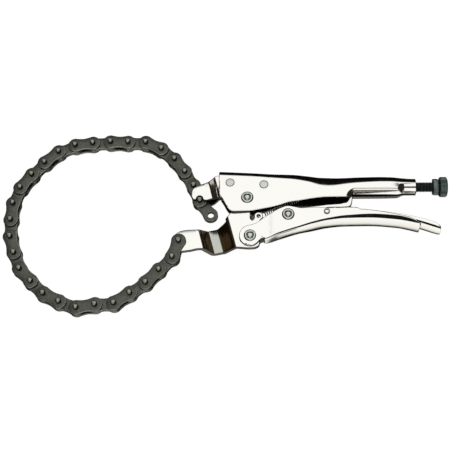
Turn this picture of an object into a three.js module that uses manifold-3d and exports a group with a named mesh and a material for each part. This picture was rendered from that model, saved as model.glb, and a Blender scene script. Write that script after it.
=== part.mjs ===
// Locking chain pliers: two handles, a fork and a lower jaw, and a chain of outer and inner links.
// Millimetres. X runs from the chain to the adjusting screw, Y up across the handles, and Z is the axis of every rivet.
// The working origin is on the main pivot, in the middle plane. The finished group stands on its lowest point.
import * as THREE from 'three';
import { mergeVertices } from 'three/addons/utils/BufferGeometryUtils.js';
import Module from 'manifold-3d';

const wasm = await Module();
wasm.setup();

// Driving sizes of the handles
const handleLength = 146.2;
const headDepth = 25.3;
const headHalfWidth = 4.7;
const gripHalfWidth = 10.2;
const handleSheet = 2;
const gripTopCorner = 6;
const tubeRadius = 7.2;
const screwHeight = 10.9;
const lowerHandleLength = 146;
const leverDrop = 35.9;
const earHalfWidth = 4.4;
const earRadius = 9.5;
const lowerFloorCorner = 4.5;

// Driving sizes of the jaws
const hookReach = 48.7;
const jawPlate = 2.4;
const forkHalfWidth = 5.2;
const jawReach = 58.59;
const jawDrop = 40.06;
const lowerJawThickness = 4.2;
const troughDepth = 11.2;
const jawEyeRadius = 8.5;
const springLugRadius = 4.3;
const bendAngle = Math.PI / 12;

// Driving sizes of the toggle link and the release lever
const toggleThickness = 4;
const toggleEyeRadius = 7;
const toggleNoseRadius = 4.2;
const tipGap = 3.5;
const leverTailOut = 19.474;
const leverDepth = 15;
const leverSheet = 1.5;
const leverNoseHalfWidth = 6.3;
const leverTailHalfWidth = 7.2;
const tailDrop = 5.1;

// Driving sizes of the rivets, the screw and the spring
const rivetShankRadius = 3.1;
const rivetHeadRadius = 5.3;
const rivetHeadHeight = 1;
const rivetDomeHeight = 0.7;
const jawRivetRadius = 3.9;
const leverPinRadius = 2.7;
const leverPinBore = 1.5;
const threadRadius = 4.35;
const threadOut = 20.1;
const knobRadius = 8.8;
const knobLength = 7.3;
const nutRadius = 7.9;
const nutLength = 4.5;
const nutGap = 0.8;
const springWire = 1;
const springCoilRadius = 1.95;
const springCurls = 18;
const springPitch = 1.65;
const springLead = 6.5;

// Driving sizes of the chain
const chainPitch = 15.875;
const linkEndRadius = 6.45;
const linkWaist = 5.2;
const innerLinkThickness = 4.4;
const outerPlate = 2;
const pinRadius = 2.4;
const pinReach = 8.3;
const pinCentreRadius = 0.7;
const pinCentreDepth = 0.9;
const endHoleRadius = 2.8;
const endLinkLength = 16.1;

// Clearances: between faces side by side, round a turning pin and round a fixed shank
const sideGap = 0.2;
const seatGap = 0.3;
const turningGap = 0.2;
const notchGap = 0.35;
const overrun = 30;
const weld = 1e-4;

// Places as shares of lowerHandleLength and leverDrop
const lowerPivotShare = [0.0185, -1];
const togglePivotShare = [0.2425, -0.482];
const releasePivotShare = [0.469, -0.4345];
// Places as shares of hookReach and headDepth
const frontRivetShare = [-0.31011, 0.569];
const rearRivetShare = [0.29780, 0.49];
const hookPinShare = [-0.84686, -0.09753];
// Places as shares of handleLength and headDepth
const springTabShare = [0.342, 0.119];
const screwTipShare = 0.653;
// The lug's centre and the jaw's chain pin as shares of jawReach and jawDrop
const springLugShare = [0.169, -0.414];
const chainPinShare = [-1, -1];

// Outline of the upper handle's cheeks up to the seam, as shares of handleLength and headDepth
const upperCheekShares = [
  [-0.165, 1.186], [-0.165, 0.348], [-0.157, 0.083], [-0.140, -0.154], [-0.120, -0.375], [-0.107, -0.462],
  [-0.094, -0.498], [-0.078, -0.510], [0.014, -0.502], [0.088, -0.427], [0.177, -0.324], [0.254, -0.206],
  [0.321, -0.166], [0.395, -0.115], [0.474, -0.087], [0.585, -0.091], [0.613, -0.047], [0.631, 0.063],
  [0.637, 0.217], [0.643, 0.217], [0.643, 1.186],
];
// Stations of the channel: x, width from head to grip, top and top corner
const upperStationShares = [
  [-0.165, 0, 1, 0.333],
  [0.014, 0, 0.945, 0.333],
  [0.137, 0, 0.897, 0.367],
  [0.274, 0.418, 0.842, 0.5],
  [0.431, 0.891, 0.727, 1],
  [0.534, 0.982, 0.692, 1],
  [0.643, 1, 0.704, 0.917],
];
// Stations of the closed grip: x, width, top, bottom, top corner and bottom corner
const gripStationShares = [
  [0.643, 1, 0.704, 0.182, 0.917, 0.417],
  [0.787, 1, 0.715, 0.170, 0.833, 0.417],
  [0.889, 0.982, 0.700, 0.178, 0.833, 0.417],
];
const neckShare = 0.927;
const boreNeckShare = 0.905;
const tubeCornerShare = 0.96;

// Outline of one upper jaw plate, as shares of hookReach and headDepth
const hookShares = [
  [0.390, 0.178], [0.390, 0.798], [-0.103, 0.862], [-0.452, 0.877], [-0.550, 0.885], [-0.593, 0.846],
  [-0.708, 0.549], [-0.844, 0.443], [-0.951, 0.328], [-0.994, 0.174], [-1, 0.043], [-0.979, -0.071],
  [-0.959, -0.123], [-0.918, -0.130], [-0.729, -0.158], [-0.614, -0.091], [-0.493, 0.020], [-0.468, -0.012],
  [-0.257, 0.059], [-0.185, 0.095],
];
const joggleShares = [-0.606, -0.470];
const eyeReliefRadius = 9.4;

// Outline of the lower jaw, as shares of jawReach and jawDrop
const lowerJawShares = [
  [0.058, -0.180], [-0.130, -0.095], [-0.239, -0.320], [-0.268, -0.374], [-0.304, -0.472], [-0.295, -0.504],
  [-0.375, -0.569], [-0.461, -0.609], [-0.570, -0.644], [-0.649, -0.686], [-0.720, -0.721], [-0.853, -0.729],
  [-0.956, -0.749], [-1.067, -0.861], [-1.109, -1.036], [-1.058, -1.193], [-0.981, -1.238], [-0.829, -1.213],
  [-0.698, -1.176], [-0.483, -1.191], [-0.365, -1.161], [-0.148, -1.146], [0.017, -1.163], [0.140, -1.141],
  [0.181, -1.088], [0.188, -0.999], [0.188, -0.487], [0.079, -0.484], [0.058, -0.449],
];
// Where the trough's slopes and floor begin and end, across the bends, as shares of jawReach
const troughShares = [-0.823, -0.666, -0.551, -0.355];

// Outline of the lower handle's ears, as shares of lowerHandleLength and leverDrop
const earShares = [
  [-0.042, -0.936], [-0.034, -0.836], [-0.022, -0.777], [-0.005, -0.744], [0.047, -0.685], [0.103, -0.526],
  [0.103, -1.081], [0.084, -1.103], [0.073, -1.148],
];
const lowerCheekShares = [
  [0.103, -0.526], [0.147, -0.421], [0.201, -0.304], [0.239, -0.253], [0.277, -0.276], [0.321, -0.315],
  [0.473, -0.329], [0.625, -0.331], [0.651, -0.348], [0.663, -0.387], [0.726, -0.412], [0.826, -0.479],
  [0.925, -0.574], [0.955, -0.610], [0.977, -0.652], [0.992, -0.721], [1, -0.808], [1, -1.671],
  [0.103, -1.671],
];
// Stations of the lower channel: x, width from ears to grip, floor and corner
const lowerStationShares = [
  [0.103, 0.172, -1.120, 0.356],
  [0.185, 0.483, -1.006, 0.4],
  [0.295, 0.483, -0.855, 0.489],
  [0.384, 0.776, -0.752, 0.667],
  [0.473, 0.828, -0.657, 0.778],
  [0.575, 0.931, -0.599, 0.889],
  [0.712, 1, -0.591, 1],
  [0.877, 1, -0.655, 1],
  [0.959, 1, -0.724, 1],
  [1, 1, -0.766, 1],
];
const earStationShares = [[-0.1, 0], [0.06, 0], [0.103, 0.172]];

// Outline of the toggle link from its rivet, as shares of the way to its nose
const toggleShares = [
  [-0.047, 0.237], [0.033, 0.266], [0.202, 0.327], [0.537, 0.403], [0.872, 0.536], [0.915, 0.766],
  [0.926, 0.910], [1.020, 0.910], [1.068, 0.640], [1.054, 0.446], [1.002, 0.309], [0.690, 0.302],
  [0.380, 0.137], [0.050, -0.234],
];

// Outline of the release lever's cheeks from its pin, as shares of leverLength and leverDepth
const leverCheekShares = [
  [-0.082, 0.200], [-0.026, 0.247], [0.036, 0.227], [0.160, 0.147], [0.325, 0.067], [0.531, -0.133],
  [0.686, -0.347], [0.794, -0.427], [0.923, -0.653], [0.969, -0.787], [1, -0.973], [1, -1.627],
  [-0.082, -1.627],
];
// Stations of the release lever: x as a share of leverLength, width from nose to tail
const leverStationShares = [
  [-0.082, 0], [0.005, 0], [0.16, 0.2], [0.366, 0.6], [0.613, 1], [0.737, 1], [0.794, 1], [1, 1],
];
const tongueShares = [[0.045, -0.267], [0.045, 0.345], [0.1, 0.345], [0.1, -0.267]];

// The way the chain lies from the lower jaw to the hook, one heading in degrees for each link
const linkHeadings = [
  251.5, 226.9, 226.6, 216.2, 214.3, 184.4, 189.6, 160.9, 152, 136.6, 132.8, 113, 107.5, 93.6, 87.8, 71.5, 55,
  48.7, 42.4, 23.5, 7.1, 4.2, -1.9, -0.8, -24.9, -40.9, -52.7, -59.4, -68.1,
];
const endLinkHeading = -53.2;

// Facets
const cornerSteps = 4;
const pinSides = 10;
const rivetSides = 18;
const screwSides = 16;
const linkArcSteps = 6;
const bendSteps = 3;
const closingRounds = 8;

// Values worked out from the sizes above
const degrees = Math.PI / 180;
const lowerPivot = place(lowerPivotShare, lowerHandleLength, leverDrop);
const togglePivot = place(togglePivotShare, lowerHandleLength, leverDrop);
const releasePivot = place(releasePivotShare, lowerHandleLength, leverDrop);
const frontRivet = place(frontRivetShare, hookReach, headDepth);
const rearRivet = place(rearRivetShare, hookReach, headDepth);
const hookPin = place(hookPinShare, hookReach, headDepth);
const leverLength = lowerHandleLength - releasePivot.x + leverTailOut;
const springTab = place(springTabShare, handleLength, headDepth);
const springLug = place(springLugShare, jawReach, jawDrop);
const chainPin = place(chainPinShare, jawReach, jawDrop);
const mainPivot = new THREE.Vector2(0, 0);
const screwTip = screwTipShare * handleLength;
const nose = new THREE.Vector2(screwTip - tipGap - toggleNoseRadius, screwHeight);

function place(share, width, height) {
  return new THREE.Vector2(share[0] * width, share[1] * height);
}

function outline(shares, width, height, from = mainPivot) {
  return shares.map((share) => place(share, width, height).add(from));
}

// Booleans

function solid(geometry) {
  const bare = geometry.clone();
  bare.deleteAttribute('normal');
  bare.deleteAttribute('uv');
  const merged = mergeVertices(bare, weld);
  const corners = [];
  for (let i = 0; i < merged.index.count; i += 3) {
    const [a, b, c] = [0, 1, 2].map((k) => merged.index.getX(i + k));
    if (a !== b && b !== c && c !== a) corners.push(a, b, c);
  }
  const places = Float32Array.from(merged.attributes.position.array);
  if (signedVolume(places, corners) < 0) corners.reverse();
  const mesh = new wasm.Mesh({ numProp: 3, vertProperties: places, triVerts: Uint32Array.from(corners) });
  return new wasm.Manifold(mesh);
}

function signedVolume(places, corners) {
  const [a, b, c] = [new THREE.Vector3(), new THREE.Vector3(), new THREE.Vector3()];
  let volume = 0;
  for (let i = 0; i < corners.length; i += 3) {
    [a, b, c].forEach((point, k) => point.fromArray(places, corners[i + k] * 3));
    volume += a.dot(b.clone().cross(c)) / 6;
  }
  return volume;
}

function union(bodies) {
  return bodies.reduce((whole, body) => whole.add(body));
}

function without(body, tools) {
  return tools.reduce((left, tool) => left.subtract(tool), body);
}

// Basic bodies

function prism(points, bottom, top) {
  const options = { depth: top - bottom, bevelEnabled: false };
  return solid(new THREE.ExtrudeGeometry(new THREE.Shape(points), options).translate(0, 0, bottom));
}

function rod(centre, radius, bottom, top, sides = pinSides) {
  const geometry = new THREE.CylinderGeometry(radius, radius, top - bottom, sides);
  geometry.rotateX(Math.PI / 2).translate(centre.x, centre.y, (top + bottom) / 2);
  return solid(geometry);
}

// A through hole whose flats clear a round pin
function hole(centre, radius, sides = pinSides) {
  return rod(centre, radius / Math.cos(Math.PI / sides), -overrun, overrun, sides);
}

function turned(profile, sides) {
  const points = profile.map(([radius, height]) => new THREE.Vector2(radius, height));
  return new THREE.LatheGeometry(points, sides);
}

function loft(sections) {
  const count = sections[0].length;
  const places = sections.flat().flatMap((point) => point.toArray());
  const corners = [];
  for (let i = 0; i + 1 < sections.length; i += 1) {
    for (let j = 0; j < count; j += 1) {
      const [a, b] = [i * count + j, i * count + (j + 1) % count];
      corners.push(a, b, b + count, a, b + count, a + count);
    }
  }
  const last = (sections.length - 1) * count;
  for (let j = 1; j + 1 < count; j += 1) {
    corners.push(0, j + 1, j, last, last + j, last + j + 1);
  }
  const geometry = new THREE.BufferGeometry();
  geometry.setAttribute('position', new THREE.Float32BufferAttribute(places, 3));
  geometry.setIndex(corners);
  return solid(geometry);
}

// A rounded rectangle square to X
function section({ x, halfWidth, top, bottom, topCorner, bottomCorner }) {
  const quarters = [
    [top - topCorner, halfWidth - topCorner, topCorner],
    [bottom + bottomCorner, halfWidth - bottomCorner, bottomCorner],
    [bottom + bottomCorner, bottomCorner - halfWidth, bottomCorner],
    [top - topCorner, topCorner - halfWidth, topCorner],
  ];
  return quarters.flatMap(([y, z, radius], quarter) => Array.from({ length: cornerSteps + 1 }, (_, step) => {
    const angle = (quarter + step / cornerSteps) * Math.PI / 2;
    return new THREE.Vector3(x, y + radius * Math.cos(angle), z + radius * Math.sin(angle));
  }));
}

function inset(station, wall) {
  return {
    ...station,
    halfWidth: station.halfWidth - wall,
    top: station.top - wall,
    bottom: station.bottom + wall,
    topCorner: Math.max(station.topCorner - wall, wall / cornerSteps),
    bottomCorner: Math.max(station.bottomCorner - wall, wall / cornerSteps),
  };
}

// The same stations, carried on past their ends, so that a cut runs right through
function runPast(stations, start, end) {
  const [first, last] = [stations[0], stations[stations.length - 1]];
  const before = start > 0 ? [{ ...first, x: first.x - start }] : [];
  const after = end > 0 ? [{ ...last, x: last.x + end }] : [];
  return [...before, ...stations, ...after];
}

// A size of the stations at a given x, straight from one station to the next
function between(stations, x, size) {
  const next = Math.max(stations.findIndex((station) => station.x > x), 1);
  const [a, b] = [stations[next - 1], stations[next]];
  return THREE.MathUtils.mapLinear(x, a.x, b.x, a[size], b[size]);
}

// A centre line in the plane across the bends, with each corner softened over the length given
function softened(points, length) {
  const path = [points[0]];
  for (let i = 1; i + 1 < points.length; i += 1) {
    const before = points[i - 1].clone().sub(points[i]).setLength(length).add(points[i]);
    const after = points[i + 1].clone().sub(points[i]).setLength(length).add(points[i]);
    path.push(...new THREE.QuadraticBezierCurve(before, points[i], after).getPoints(bendSteps));
  }
  path.push(points[points.length - 1]);
  return path;
}

// A sheet that follows a centre line across the bends and runs straight along them
function foldedSheet(centreLine, thickness) {
  const sides = [1, -1].map((side) => centreLine.map((point, i) => {
    const before = centreLine[Math.max(i - 1, 0)];
    const after = centreLine[Math.min(i + 1, centreLine.length - 1)];
    const along = after.clone().sub(before).normalize();
    return new THREE.Vector2(-along.y, along.x).multiplyScalar(side * thickness / 2).add(point);
  }));
  const shape = new THREE.Shape([...sides[0], ...sides[1].reverse()]);
  const length = 2 * (jawReach + jawDrop);
  const geometry = new THREE.ExtrudeGeometry(shape, { depth: length, bevelEnabled: false });
  const across = new THREE.Vector3(Math.cos(bendAngle), Math.sin(bendAngle), 0);
  const up = new THREE.Vector3(0, 0, 1);
  const along = across.clone().cross(up);
  geometry.translate(0, 0, -length / 2);
  geometry.applyMatrix4(new THREE.Matrix4().makeBasis(across, up, along));
  return solid(geometry);
}

// Handles

function upperStation([x, width, top, topCorner]) {
  return {
    x: x * handleLength,
    halfWidth: headHalfWidth + width * (gripHalfWidth - headHalfWidth),
    top: top * headDepth,
    bottom: -headDepth,
    topCorner: topCorner * gripTopCorner,
    bottomCorner: topCorner * gripTopCorner,
  };
}

function gripStation([x, width, top, bottom, topCorner, bottomCorner]) {
  return {
    ...upperStation([x, width, top, topCorner]),
    bottom: bottom * headDepth,
    bottomCorner: bottomCorner * gripTopCorner,
  };
}

function roundStation(x, radius) {
  const corner = tubeCornerShare * radius;
  const [top, bottom] = [screwHeight + radius, screwHeight - radius];
  return { x, halfWidth: radius, top, bottom, topCorner: corner, bottomCorner: corner };
}

function upperHandle() {
  const channel = upperStationShares.map(upperStation);
  const cheeks = prism(outline(upperCheekShares, handleLength, headDepth), -gripHalfWidth, gripHalfWidth);
  const channelCut = loft(runPast(channel.map((station) => inset(station, handleSheet)), overrun, 0).map(section));
  const front = loft(channel.map(section)).intersect(cheeks).subtract(channelCut);
  const grip = gripStationShares.map(gripStation);
  const bore = threadRadius + turningGap;
  const outside = [...grip, roundStation(neckShare * handleLength, tubeRadius), roundStation(handleLength, tubeRadius)];
  const [seam, waist, shoulder] = grip.map((station) => inset(station, handleSheet));
  const inside = [
    seam,
    waist,
    { ...shoulder, x: boreNeckShare * handleLength - handleSheet },
    roundStation(boreNeckShare * handleLength + tubeRadius, bore),
    roundStation(handleLength + overrun, bore),
  ];
  const rear = loft(outside.map(section)).subtract(loft(inside.map(section)));
  const holes = [
    hole(mainPivot, rivetShankRadius + turningGap),
    hole(frontRivet, jawRivetRadius + turningGap, rivetSides),
    hole(rearRivet, jawRivetRadius + turningGap, rivetSides),
  ];
  return without(union([front, rear, springAnchor()]), holes);
}

// A tab that hangs from the upper handle's roof and holds the spring's far hook
function springAnchor() {
  const halfWidth = springLugRadius / 2;
  const [left, right] = [springTab.x - halfWidth, springTab.x + halfWidth];
  const roof = between(upperStationShares.map(upperStation), springTab.x, 'top') - handleSheet / 2;
  const foot = springTab.y - halfWidth;
  const points = [[left, foot], [right, foot], [right, roof], [left, roof]].map(([x, y]) => new THREE.Vector2(x, y));
  return prism(points, -springWire, springWire).subtract(hole(springTab, springWire));
}

function lowerStation([x, width, floor, corner]) {
  return {
    x: x * lowerHandleLength,
    halfWidth: earHalfWidth + width * (gripHalfWidth - earHalfWidth),
    top: 0,
    bottom: floor * leverDrop,
    topCorner: corner * lowerFloorCorner,
    bottomCorner: corner * lowerFloorCorner,
  };
}

function lowerHandle() {
  const channel = lowerStationShares.map(lowerStation);
  const inside = channel.map((station) => ({ ...inset(station, handleSheet), top: overrun }));
  const cheekPoints = outline(lowerCheekShares, lowerHandleLength, leverDrop);
  const body = loft(channel.map(section)).intersect(prism(cheekPoints, -gripHalfWidth, gripHalfWidth));
  const rear = body.subtract(loft(runPast(inside, 0, overrun).map(section)));
  const earFloor = -2 * leverDrop;
  const ears = earStationShares.map(([x, width]) => {
    return { ...lowerStation([x, width, 0, lowerStationShares[0][3]]), bottom: earFloor, top: 0 };
  });
  const earInside = ears.map((station) => ({ ...inset(station, handleSheet), top: overrun, bottom: earFloor - overrun }));
  const earPoints = outline(earShares, lowerHandleLength, leverDrop);
  const earShape = union([
    prism(earPoints, -gripHalfWidth, gripHalfWidth),
    rod(lowerPivot, earRadius, -gripHalfWidth, gripHalfWidth, 2 * rivetSides),
  ]);
  const front = loft(ears.map(section)).intersect(earShape).subtract(loft(earInside.map(section)));
  const holes = [
    hole(lowerPivot, rivetShankRadius + turningGap),
    hole(togglePivot, rivetShankRadius + turningGap),
    hole(releasePivot, leverPinRadius + turningGap),
  ];
  return without(front.add(rear), holes);
}

function innerFloor(x) {
  return between(lowerStationShares.map(lowerStation), x, 'bottom') + handleSheet;
}

function releaseLever() {
  const stations = leverStationShares.map(([x, width], i) => {
    const place = releasePivot.x + x * leverLength;
    const onFloor = Math.min(place, lowerHandleLength - seatGap);
    const drop = i === leverStationShares.length - 1 ? tailDrop : 0;
    return {
      x: place,
      halfWidth: THREE.MathUtils.lerp(leverNoseHalfWidth, leverTailHalfWidth, width),
      top: 0,
      bottom: innerFloor(onFloor) + seatGap - drop,
      topCorner: leverSheet,
      bottomCorner: 2 * leverSheet,
    };
  });
  stations[0].bottom += leverSheet;
  const inside = runPast(stations.map((station) => ({ ...inset(station, leverSheet), top: overrun })), overrun, overrun);
  const cheeks = prism(outline(leverCheekShares, leverLength, leverDepth, releasePivot), -gripHalfWidth, gripHalfWidth);
  const tongueWidth = leverNoseHalfWidth / 2;
  const tongue = prism(outline(tongueShares, leverLength, leverDepth, releasePivot), -tongueWidth, tongueWidth);
  const channel = loft(stations.map(section)).intersect(cheeks);
  const shell = channel.subtract(loft(inside.map(section)));
  return shell.add(tongue).subtract(hole(releasePivot, leverPinRadius + turningGap));
}

// Jaws

function upperJawPlate(side) {
  const inner = sideGap / 2 + jawPlate / 2;
  const outer = forkHalfWidth + jawPlate / 2;
  const [bend, level] = joggleShares.map((share) => share * hookReach);
  const line = [
    new THREE.Vector2(-2 * hookReach, side * outer),
    new THREE.Vector2(bend, side * outer),
    new THREE.Vector2(level, side * inner),
    new THREE.Vector2(2 * hookReach, side * inner),
  ];
  const sheet = foldedSheet(softened(line, jawPlate / 2), jawPlate);
  const flat = prism(outline(hookShares, hookReach, headDepth), -overrun, overrun);
  const cuts = [
    notch(),
    hole(mainPivot, eyeReliefRadius, 2 * rivetSides),
    hole(frontRivet, jawRivetRadius + turningGap, rivetSides),
    hole(rearRivet, jawRivetRadius + turningGap, rivetSides),
  ];
  return without(sheet.intersect(flat), cuts);
}

// The notch that the chain's pin lies in: a round seat with walls that open downwards
function notch() {
  const radius = pinRadius + notchGap;
  const walls = [[-radius, 0], [radius, 0], [2 * radius, -2 * linkEndRadius], [-2 * radius, -2 * linkEndRadius]];
  const points = walls.map(([x, y]) => new THREE.Vector2(x, y).add(hookPin));
  return prism(points, -overrun, overrun).add(hole(hookPin, radius, screwSides));
}

function lowerJaw() {
  const edges = troughShares.map((share) => share * jawReach);
  const levels = [0, -troughDepth, -troughDepth, 0];
  const ends = [new THREE.Vector2(-3 * jawReach, 0), new THREE.Vector2(2 * jawReach, 0)];
  const bends = edges.map((edge, i) => new THREE.Vector2(edge, levels[i]));
  const sheet = foldedSheet(softened([ends[0], ...bends, ends[1]], lowerJawThickness / 2), lowerJawThickness);
  const flat = union([
    prism(outline(lowerJawShares, jawReach, jawDrop), -overrun, overrun),
    rod(mainPivot, jawEyeRadius, -overrun, overrun, 2 * rivetSides),
    rod(springLug, springLugRadius, -overrun, overrun, rivetSides),
  ]);
  const holes = [
    hole(mainPivot, rivetShankRadius + turningGap),
    hole(lowerPivot, rivetShankRadius + turningGap),
    hole(chainPin, pinRadius + turningGap / 2),
    hole(springLug, springWire),
  ];
  return without(sheet.intersect(flat), holes);
}

function toggleLink() {
  const [width, height] = [nose.x - togglePivot.x, nose.y - togglePivot.y];
  const half = toggleThickness / 2;
  const body = union([
    prism(outline(toggleShares, width, height, togglePivot), -half, half),
    rod(togglePivot, toggleEyeRadius, -half, half, rivetSides),
    rod(nose, toggleNoseRadius, -half, half, rivetSides),
  ]);
  return body.subtract(hole(togglePivot, rivetShankRadius + turningGap));
}

// Rivets and pins

// A rivet with a flange, a ring groove and a dome at each end; seat is half the width that it holds
function ringedRivet(centre, seat) {
  const edge = rivetHeadHeight / 4;
  const flange = seat + rivetHeadHeight;
  const dome = flange + rivetDomeHeight;
  const half = [
    [rivetShankRadius, seat],
    [rivetHeadRadius, seat],
    [rivetHeadRadius, flange - edge],
    [rivetHeadRadius - edge, flange],
    [rivetShankRadius + edge, flange],
    [rivetShankRadius + edge, flange - edge],
    [rivetShankRadius, flange - edge],
    [rivetShankRadius - edge, dome],
    [0, dome],
  ];
  const lower = half.map(([radius, height]) => [radius, -height]).reverse();
  return solid(turned([...lower, ...half], rivetSides).rotateX(Math.PI / 2).translate(centre.x, centre.y, 0));
}

function toggleSpacer(side) {
  const [near, far] = [toggleThickness / 2 + sideGap, lowerCheekInside(togglePivot.x) - sideGap];
  const [bottom, top] = side > 0 ? [near, far] : [-far, -near];
  return rod(togglePivot, rivetHeadRadius, bottom, top, rivetSides).subtract(hole(togglePivot, rivetShankRadius + turningGap));
}

function lowerCheekInside(x) {
  return between(lowerStationShares.map(lowerStation), x, 'halfWidth') - handleSheet;
}

function releasePin() {
  const half = lowerCheekInside(releasePivot.x) + handleSheet + sideGap;
  return rod(releasePivot, leverPinRadius, -half, half, screwSides).subtract(hole(releasePivot, leverPinBore));
}

// The adjusting screw and its nut, turned about X

function alongX(geometry) {
  return solid(geometry.rotateZ(-Math.PI / 2).translate(0, screwHeight, 0));
}

function adjustingScrew() {
  const knob = handleLength + threadOut;
  const edge = knobRadius / 8;
  return alongX(turned([
    [0, screwTip],
    [threadRadius / 2, screwTip],
    [threadRadius, screwTip + threadRadius / 2],
    [threadRadius, knob],
    [knobRadius - edge, knob],
    [knobRadius, knob + edge],
    [knobRadius, knob + knobLength - 2 * edge],
    [knobRadius - 2 * edge, knob + knobLength - edge / 2],
    [0, knob + knobLength],
  ], screwSides));
}

function lockNut() {
  const end = handleLength + threadOut - nutGap;
  const middle = end - nutLength / 2;
  const body = new THREE.CylinderGeometry(nutRadius, nutRadius, nutLength, 6).translate(0, middle, 0);
  const boreRadius = (threadRadius + turningGap) / Math.cos(Math.PI / screwSides);
  const bore = new THREE.CylinderGeometry(boreRadius, boreRadius, 2 * nutLength, screwSides).translate(0, middle, 0);
  return alongX(body).subtract(alongX(bore));
}

// The spring: a hook through the lug, a lead, the curls, a lead and a hook through the tab

function springRoute() {
  const axis = springTab.clone().sub(springLug);
  const length = axis.length();
  const along = new THREE.Vector3(axis.x, axis.y, 0).normalize();
  const side = new THREE.Vector3(-along.y, along.x, 0);
  const start = new THREE.Vector3(springLug.x, springLug.y, 0);
  const at = (run, out, height) => {
    return start.clone().addScaledVector(along, run).addScaledVector(side, out).setZ(height);
  };
  const lugTop = lowerJawThickness / 2 + 2 * springWire;
  const body = springCurls * springPitch;
  const first = (length - body) / 2;
  const route = [at(0, 0, -lugTop), at(0, 0, 0), at(0, 0, lugTop - springWire), at(springWire, 0, lugTop - springWire / 2)];
  route.push(at(springLead, 0, lugTop - springWire / 2));
  for (let i = 0; i <= springCurls * 8; i += 1) {
    const angle = i * Math.PI / 4;
    const run = first + i * springPitch / 8;
    route.push(at(run, springCoilRadius * Math.sin(angle), springCoilRadius * Math.cos(angle)));
  }
  route.push(at(length - springWire, 0, springCoilRadius), at(length, 0, springCoilRadius - springWire / 2));
  route.push(at(length, 0, 0), at(length, 0, -springCoilRadius));
  return route;
}

// Least gap between curls, measured between points at least one turn apart on the route
function leastGap(route) {
  let least = Infinity;
  route.forEach((a, i) => route.slice(i + 7).forEach((b) => {
    least = Math.min(least, a.distanceTo(b) - springWire);
  }));
  return least;
}

// One unbroken tube along the route, its section carried from point to point without a twist
function tensionSpring() {
  const route = springRoute();
  console.log('least gap in the spring', leastGap(route).toFixed(3));
  const sides = 5;
  let across = new THREE.Vector3(1, 0, 0);
  const rings = route.map((point, i) => {
    const before = route[Math.max(i - 1, 0)];
    const after = route[Math.min(i + 1, route.length - 1)];
    const along = after.clone().sub(before).normalize();
    across = across.clone().addScaledVector(along, -across.dot(along)).normalize();
    const other = along.clone().cross(across);
    return Array.from({ length: sides }, (_, k) => {
      const angle = 2 * Math.PI * k / sides;
      const out = across.clone().multiplyScalar(Math.cos(angle)).addScaledVector(other, Math.sin(angle));
      return point.clone().addScaledVector(out, springWire / 2);
    });
  });
  return loft(rings);
}

// The chain

// One pitch along each heading
function linkSteps(headings) {
  return headings.map((angle) => new THREE.Vector2(Math.cos(angle), Math.sin(angle)).multiplyScalar(chainPitch));
}

// The headings, each turned by the little that brings the last pin onto the hook's
function closedHeadings() {
  const headings = linkHeadings.map((heading) => heading * degrees);
  for (let round = 0; round < closingRounds; round += 1) {
    const steps = linkSteps(headings);
    const miss = steps.reduce((left, step) => left.sub(step), hookPin.clone().sub(chainPin));
    const total = (size) => steps.reduce((sum, step) => sum + size(step), 0);
    const [xx, xy, yy] = [total(({ y }) => y * y), -total(({ x, y }) => x * y), total(({ x }) => x * x)];
    const area = xx * yy - xy * xy;
    const pull = new THREE.Vector2(yy * miss.x - xy * miss.y, xx * miss.y - xy * miss.x).divideScalar(area);
    steps.forEach(({ x, y }, i) => {
      headings[i] += x * pull.y - y * pull.x;
    });
  }
  return headings;
}

// Pins from the lower jaw to the hook
function chainPins() {
  const pins = [chainPin];
  linkSteps(closedHeadings()).forEach((step) => pins.push(step.add(pins[pins.length - 1])));
  return pins;
}

// Two round ends joined by a waist, from one pin to the next
function linkOutline(from, to) {
  const along = to.clone().sub(from);
  const heading = along.angle();
  const end = (centre, start) => Array.from({ length: linkArcSteps + 1 }, (_, step) => {
    const angle = heading + start + (step / linkArcSteps - 0.5) * Math.PI * 2 / 3;
    return new THREE.Vector2(Math.cos(angle), Math.sin(angle)).multiplyScalar(linkEndRadius).add(centre);
  });
  const middle = from.clone().lerp(to, 0.5);
  const across = new THREE.Vector2(-along.y, along.x).setLength(linkWaist);
  return [...end(to, 0), middle.clone().add(across), ...end(from, Math.PI), middle.clone().sub(across)];
}

function innerLink(from, to, farHole = pinRadius + turningGap / 2) {
  const half = innerLinkThickness / 2;
  const holes = [hole(from, pinRadius + turningGap / 2), hole(to, farHole)];
  return without(prism(linkOutline(from, to), -half, half), holes);
}

function outerLink(from, to, drilled) {
  const near = innerLinkThickness / 2 + sideGap;
  const points = linkOutline(from, to);
  const body = union([
    prism(points, near, near + outerPlate),
    prism(points, -near - outerPlate, -near),
    rod(from, pinRadius, -pinReach, pinReach),
    rod(to, pinRadius, -pinReach, pinReach),
  ]);
  if (!drilled) return body;
  return body.subtract(rod(from, pinCentreRadius, pinReach - pinCentreDepth, overrun));
}

// Assembly

const looks = {
  nickel: { color: 0xdcdcd6, roughness: 0.18, metalness: 1 },
  rivet: { color: 0xb9c2b8, roughness: 0.3, metalness: 1 },
  chain: { color: 0x5f625b, roughness: 0.5, metalness: 0.8 },
  black: { color: 0x2a302f, roughness: 0.45, metalness: 0.7 },
};
const pins = chainPins();
const group = new THREE.Group();

function addPart(name, body, look) {
  const mesh = body.getMesh();
  const geometry = new THREE.BufferGeometry();
  geometry.setAttribute('position', new THREE.Float32BufferAttribute(mesh.vertProperties, 3));
  geometry.setIndex(Array.from(mesh.triVerts));
  geometry.computeVertexNormals();
  const part = new THREE.Mesh(geometry, new THREE.MeshStandardMaterial(looks[look]));
  part.name = name;
  group.add(part);
}

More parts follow.
